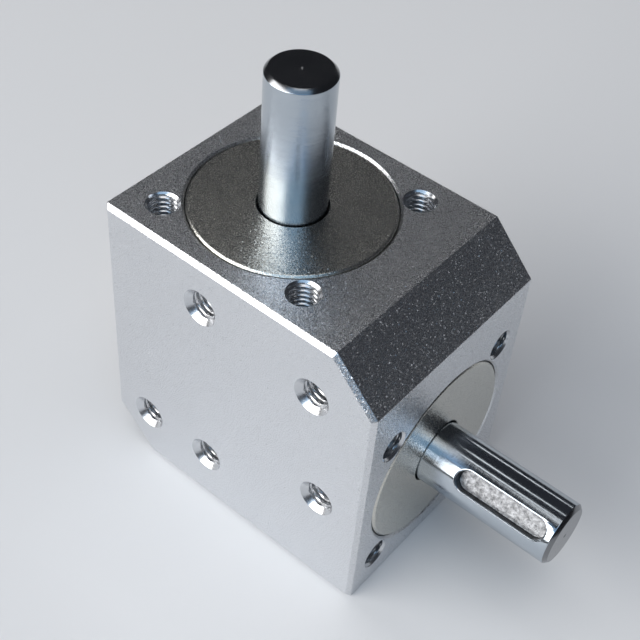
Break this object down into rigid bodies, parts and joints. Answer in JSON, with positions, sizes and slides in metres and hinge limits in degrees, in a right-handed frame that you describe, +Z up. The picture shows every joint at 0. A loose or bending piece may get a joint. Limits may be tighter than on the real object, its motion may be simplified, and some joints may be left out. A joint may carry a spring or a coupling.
{
  "type": "right angle bevel gearbox",
  "caption": "Right angle gearbox in a corner-cut square aluminium block, with equal keyed shafts out of two adjoining sides, turned by mitre gears.",
  "frame": {"origin": "on the base face, right under the vertical shaft's axis", "axes": "+Z up along the vertical shaft's axis towards its free end, +X along the horizontal shaft's axis towards its free end, -Y out of the front face"},
  "size_m": [0.086, 0.045, 0.086],
  "materials": {
    "housing": "fine bead-blasted, clear anodised",
    "bearing_holder": "fine turned, semi-gloss",
    "shaft": "ground and polished",
    "gear_steel": "machined, oiled",
    "bearing_steel": "ground",
    "ball_cage": "pressed brass with steel balls",
    "spring_steel": "phosphated spring steel",
    "black_steel": "black oxide"
  },
  "bodies": {
    "housing": {"housing": "housing", "vertical_bearing_holder": "bearing_holder", "vertical_outer_bearing_outer_race": "bearing_steel", "vertical_inner_bearing_outer_race": "bearing_steel", "vertical_outer_bearing_shield": "bearing_steel", "vertical_inner_bearing_shield": "bearing_steel", "vertical_outer_spacer": "gear_steel", "vertical_holder_circlip": "spring_steel", "horizontal_bearing_holder": "bearing_holder", "horizontal_outer_bearing_outer_race": "bearing_steel", "horizontal_inner_bearing_outer_race": "bearing_steel", "horizontal_outer_bearing_shield": "bearing_steel", "horizontal_inner_bearing_shield": "bearing_steel", "horizontal_outer_spacer": "gear_steel", "horizontal_holder_circlip": "spring_steel"},
    "vertical_shaft": {"vertical_shaft": "shaft", "vertical_shaft_circlip": "spring_steel", "vertical_outer_bearing_inner_race": "bearing_steel", "vertical_inner_bearing_inner_race": "bearing_steel", "vertical_inner_spacer": "gear_steel", "vertical_gear": "gear_steel", "vertical_gear_key": "gear_steel", "vertical_gear_washer": "black_steel", "vertical_gear_screw": "black_steel"},
    "horizontal_shaft": {"horizontal_shaft": "shaft", "horizontal_shaft_circlip": "spring_steel", "horizontal_outer_bearing_inner_race": "bearing_steel", "horizontal_inner_bearing_inner_race": "bearing_steel", "horizontal_inner_spacer": "gear_steel", "horizontal_gear": "gear_steel", "horizontal_gear_key": "gear_steel", "horizontal_gear_washer": "black_steel", "horizontal_gear_screw": "black_steel"},
    "vertical_outer_balls": {"vertical_outer_bearing_ball_set": "ball_cage"},
    "vertical_inner_balls": {"vertical_inner_bearing_ball_set": "ball_cage"},
    "horizontal_outer_balls": {"horizontal_outer_bearing_ball_set": "ball_cage"},
    "horizontal_inner_balls": {"horizontal_inner_bearing_ball_set": "ball_cage"}
  },
  "joints": [
    {"name": "vertical_shaft_turn", "type": "hinge", "parent": "housing", "child": "vertical_shaft", "pos_m": [0, 0, 0.0225], "axis": [0, 0, 1], "continuous": true},
    {"name": "horizontal_shaft_turn", "type": "hinge", "parent": "housing", "child": "horizontal_shaft", "pos_m": [0, 0, 0.0225], "axis": [1, 0, 0], "continuous": true},
    {"name": "vertical_outer_balls_turn", "type": "hinge", "parent": "housing", "child": "vertical_outer_balls", "pos_m": [0, 0, 0.0524], "axis": [0, 0, 1], "continuous": true},
    {"name": "vertical_inner_balls_turn", "type": "hinge", "parent": "housing", "child": "vertical_inner_balls", "pos_m": [0, 0, 0.044], "axis": [0, 0, 1], "continuous": true},
    {"name": "horizontal_outer_balls_turn", "type": "hinge", "parent": "housing", "child": "horizontal_outer_balls", "pos_m": [0.0299, 0, 0.0225], "axis": [1, 0, 0], "continuous": true},
    {"name": "horizontal_inner_balls_turn", "type": "hinge", "parent": "housing", "child": "horizontal_inner_balls", "pos_m": [0.0215, 0, 0.0225], "axis": [1, 0, 0], "continuous": true}
  ],
  "couplings": [
    {"joint": "horizontal_shaft_turn", "follows": "vertical_shaft_turn", "ratio": -1},
    {"joint": "vertical_outer_balls_turn", "follows": "vertical_shaft_turn", "ratio": 0.417},
    {"joint": "vertical_inner_balls_turn", "follows": "vertical_shaft_turn", "ratio": 0.417},
    {"joint": "horizontal_outer_balls_turn", "follows": "vertical_shaft_turn", "ratio": -0.417},
    {"joint": "horizontal_inner_balls_turn", "follows": "vertical_shaft_turn", "ratio": -0.417}
  ]
}
